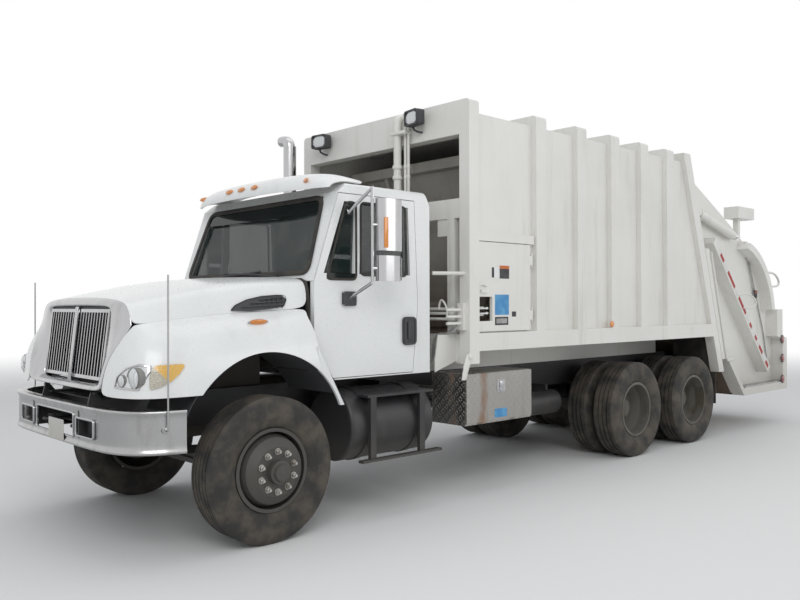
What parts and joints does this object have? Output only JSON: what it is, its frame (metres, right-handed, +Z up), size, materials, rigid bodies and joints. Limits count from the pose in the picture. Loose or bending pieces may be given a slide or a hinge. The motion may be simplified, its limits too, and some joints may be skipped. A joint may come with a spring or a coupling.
{
  "type": "garbage truck",
  "caption": "Rear-loading refuse truck: conventional cab over a black frame, ribbed packer body, lifting tailgate with packing blade, twin rear wheels.",
  "frame": {"origin": "on the ground, midway between front bumper and tailgate, on the centre line", "axes": "+X forward, +Y to the vehicle's left, +Z up"},
  "size_m": [10.05, 2.6722, 3.5394],
  "materials": {
    "tyre": "dusty black rubber",
    "rim_black": "satin black",
    "rim_grey": "dirty grey",
    "chassis_black": "satin black",
    "engine_iron": "oily grey",
    "cab_white": "gloss white",
    "glass": "clear, green tint",
    "seat_cloth": "woven grey cloth",
    "dash_plastic": "grained dark grey",
    "lamp_lens": "clear lens",
    "chrome": "bright",
    "bumper_metal": "dull polish",
    "tread_plate": "raised tread pattern, rust streaks",
    "flap_rubber": "matt",
    "body_white": "satin white, weathered",
    "worn_steel": "scoured, rusty",
    "packer_white": "worn white with rust",
    "rod_chrome": "ground"
  },
  "bodies": {
    "truck": {"front_axle": "chassis_black", "rear_bogie": "chassis_black", "frame_rails": "chassis_black", "crossmembers": "chassis_black", "fuel_tank": "chassis_black", "cab_steps": "chassis_black", "engine_block": "engine_iron", "cab_shell": "cab_white", "sun_visor": "cab_white", "cab_glass": "glass", "seats": "seat_cloth", "dashboard": "dash_plastic", "exhaust_stack": "chrome", "front_bumper": "bumper_metal", "toolbox": "tread_plate", "mud_flaps": "flap_rubber", "body_ribs": "body_white", "front_frame": "body_white", "rear_frame": "body_white", "body_shell": "body_white", "body_subframe": "body_white", "body_floor": "worn_steel", "ram_barrel": "packer_white"},
    "wheel_front_left": {"tyre_front_left": "tyre", "rim_front_left": "rim_black"},
    "wheel_front_right": {"tyre_front_right": "tyre", "rim_front_right": "rim_black"},
    "wheels_forward_left": {"tyres_forward_left": "tyre", "rims_forward_left": "rim_grey"},
    "wheels_forward_right": {"tyres_forward_right": "tyre", "rims_forward_right": "rim_grey"},
    "wheels_rearward_left": {"tyres_rearward_left": "tyre", "rims_rearward_left": "rim_grey"},
    "wheels_rearward_right": {"tyres_rearward_right": "tyre", "rims_rearward_right": "rim_grey"},
    "knuckle_left": {"knuckle_left": "chassis_black"},
    "knuckle_right": {"knuckle_right": "chassis_black"},
    "tie_rod": {"tie_rod": "chassis_black"},
    "hood": {"hood": "cab_white", "grille": "chrome", "headlamps": "lamp_lens"},
    "door_left": {"door_left": "cab_white", "door_glass_left": "glass", "mirror_left": "chrome"},
    "door_right": {"door_right": "cab_white", "door_glass_right": "glass", "mirror_right": "chrome"},
    "access_door": {"access_door": "body_white"},
    "toolbox_door": {"toolbox_door": "tread_plate"},
    "ejector": {"ejector": "packer_white", "ram_stage_inner": "rod_chrome"},
    "ram_stage_outer": {"ram_stage_outer": "rod_chrome"},
    "ram_stage_middle": {"ram_stage_middle": "rod_chrome"},
    "tailgate": {"tailgate_sides": "body_white", "tailgate_cover": "body_white", "hopper": "worn_steel"},
    "lift_barrels": {"lift_barrels": "body_white"},
    "lift_rods": {"lift_rods": "rod_chrome"},
    "packer_carriage": {"packer_carriage": "packer_white"},
    "packer_blade": {"packer_blade": "worn_steel"}
  },
  "joints": [
    {"name": "steer_left", "type": "hinge", "parent": "truck", "child": "knuckle_left", "pos_m": [3.905, 0.87, 0.527], "axis": [0, 0, 1], "range_deg": [-35, 35]},
    {"name": "steer_right", "type": "hinge", "parent": "truck", "child": "knuckle_right", "pos_m": [3.905, -0.87, 0.527], "axis": [0, 0, 1], "range_deg": [-35, 35]},
    {"name": "tie_rod_swing", "type": "hinge", "parent": "knuckle_left", "child": "tie_rod", "pos_m": [3.705, 0.87, 0.4], "axis": [0, 0, 1], "range_deg": [-35, 35]},
    {"name": "spin_front_left", "type": "hinge", "parent": "knuckle_left", "child": "wheel_front_left", "pos_m": [3.905, 1.048, 0.527], "axis": [0, 1, 0], "continuous": true},
    {"name": "spin_front_right", "type": "hinge", "parent": "knuckle_right", "child": "wheel_front_right", "pos_m": [3.905, -1.048, 0.527], "axis": [0, 1, 0], "continuous": true},
    {"name": "spin_forward_left", "type": "hinge", "parent": "truck", "child": "wheels_forward_left", "pos_m": [-0.947, 0.9, 0.527], "axis": [0, 1, 0], "continuous": true},
    {"name": "spin_forward_right", "type": "hinge", "parent": "truck", "child": "wheels_forward_right", "pos_m": [-0.947, -0.9, 0.527], "axis": [0, 1, 0], "continuous": true},
    {"name": "spin_rearward_left", "type": "hinge", "parent": "truck", "child": "wheels_rearward_left", "pos_m": [-2.267, 0.9, 0.527], "axis": [0, 1, 0], "continuous": true},
    {"name": "spin_rearward_right", "type": "hinge", "parent": "truck", "child": "wheels_rearward_right", "pos_m": [-2.267, -0.9, 0.527], "axis": [0, 1, 0], "continuous": true},
    {"name": "hood_tilt", "type": "hinge", "parent": "truck", "child": "hood", "pos_m": [4.905, 0, 1.1], "axis": [0, 1, 0], "range_deg": [0, 70]},
    {"name": "door_left_swing", "type": "hinge", "parent": "truck", "child": "door_left", "pos_m": [3.443, 1.035, 1.8], "axis": [0, 0, -1], "range_deg": [0, 65]},
    {"name": "door_right_swing", "type": "hinge", "parent": "truck", "child": "door_right", "pos_m": [3.443, -1.035, 1.8], "axis": [0, 0, 1], "range_deg": [0, 65]},
    {"name": "access_door_swing", "type": "hinge", "parent": "truck", "child": "access_door", "pos_m": [0.96, 1.194, 1.87], "axis": [0, 0, 1], "range_deg": [0, 95]},
    {"name": "toolbox_door_drop", "type": "hinge", "parent": "truck", "child": "toolbox_door", "pos_m": [1.455, 1.204, 0.643], "axis": [-1, 0, 0], "range_deg": [0, 90]},
    {"name": "ejector_push", "type": "slide", "parent": "truck", "child": "ejector", "axis": [-1, 0, 0], "range_m": [0, 2.55]},
    {"name": "ram_outer_slide", "type": "slide", "parent": "truck", "child": "ram_stage_outer", "axis": [-1, 0, 0], "range_m": [0, 0.85]},
    {"name": "ram_middle_slide", "type": "slide", "parent": "truck", "child": "ram_stage_middle", "axis": [-1, 0, 0], "range_m": [0, 1.7]},
    {"name": "tailgate_lift", "type": "hinge", "parent": "truck", "child": "tailgate", "pos_m": [-2.209, 0, 3.482], "axis": [0, 1, 0], "range_deg": [0, 80]},
    {"name": "lift_barrel_swing", "type": "hinge", "parent": "truck", "child": "lift_barrels", "pos_m": [-2.467, 0, 2.85], "axis": [0, 1, 0], "range_deg": [0, 78.1]},
    {"name": "lift_rod_slide", "type": "slide", "parent": "lift_barrels", "child": "lift_rods", "axis": [-0.9731, 0, -0.2305], "range_m": [0, 0.878]},
    {"name": "carriage_slide", "type": "slide", "parent": "tailgate", "child": "packer_carriage", "axis": [-0.682, 0, -0.7313], "range_m": [0, 0.95]},
    {"name": "blade_sweep", "type": "hinge", "parent": "packer_carriage", "child": "packer_blade", "pos_m": [-3.39709, 0, 1.94477], "axis": [0, 1, 0], "range_deg": [0, 105]}
  ],
  "couplings": [
    {"joint": "steer_right", "follows": "steer_left", "ratio": 1},
    {"joint": "tie_rod_swing", "follows": "steer_left", "ratio": -1},
    {"joint": "ram_outer_slide", "follows": "ejector_push", "ratio": 0.33333},
    {"joint": "ram_middle_slide", "follows": "ejector_push", "ratio": 0.66666},
    {"joint": "lift_barrel_swing", "follows": "tailgate_lift", "ratio": 0.97525},
    {"joint": "lift_rod_slide", "follows": "tailgate_lift", "m_per_rad": 0.62739}
  ]
}
